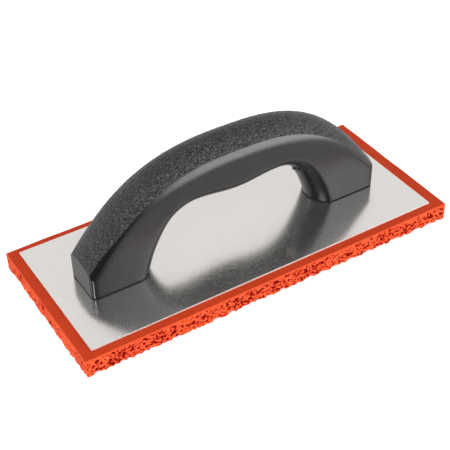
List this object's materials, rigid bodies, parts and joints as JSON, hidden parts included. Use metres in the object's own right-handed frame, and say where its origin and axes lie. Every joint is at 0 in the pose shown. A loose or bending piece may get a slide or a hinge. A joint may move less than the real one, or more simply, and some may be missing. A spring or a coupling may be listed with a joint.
{
  "type": "grout float",
  "caption": "Flat rubber-faced float for pressing grout into tile joints: sponge rubber pad, thin aluminium backing plate and an arched hand grip with two feet.",
  "frame": {"origin": "middle of the rubber pad's flat working face", "axes": "+X along the long side, +Y across the float, +Z from the working face up through the grip"},
  "size_m": [0.24, 0.102, 0.082],
  "materials": {
    "sponge_rubber": "matt open-cell sponge with coarse torn cells",
    "smooth_rubber": "matt smooth moulded skin with a fine grain",
    "contact_glue": "dull dried glue",
    "plate_metal": "satin mill-rolled sheet",
    "handle_plastic": "smooth satin moulded plastic",
    "grip_plastic": "coarse stippled moulded grain",
    "screw_steel": "zinc-plated steel"
  },
  "bodies": {
    "root": {"sponge_pad": "sponge_rubber", "pad_skin": "smooth_rubber", "adhesive_film": "contact_glue", "backing_plate": "plate_metal", "handle_core": "handle_plastic", "grip_cover": "grip_plastic", "handle_screws": "screw_steel"}
  },
  "joints": []
}
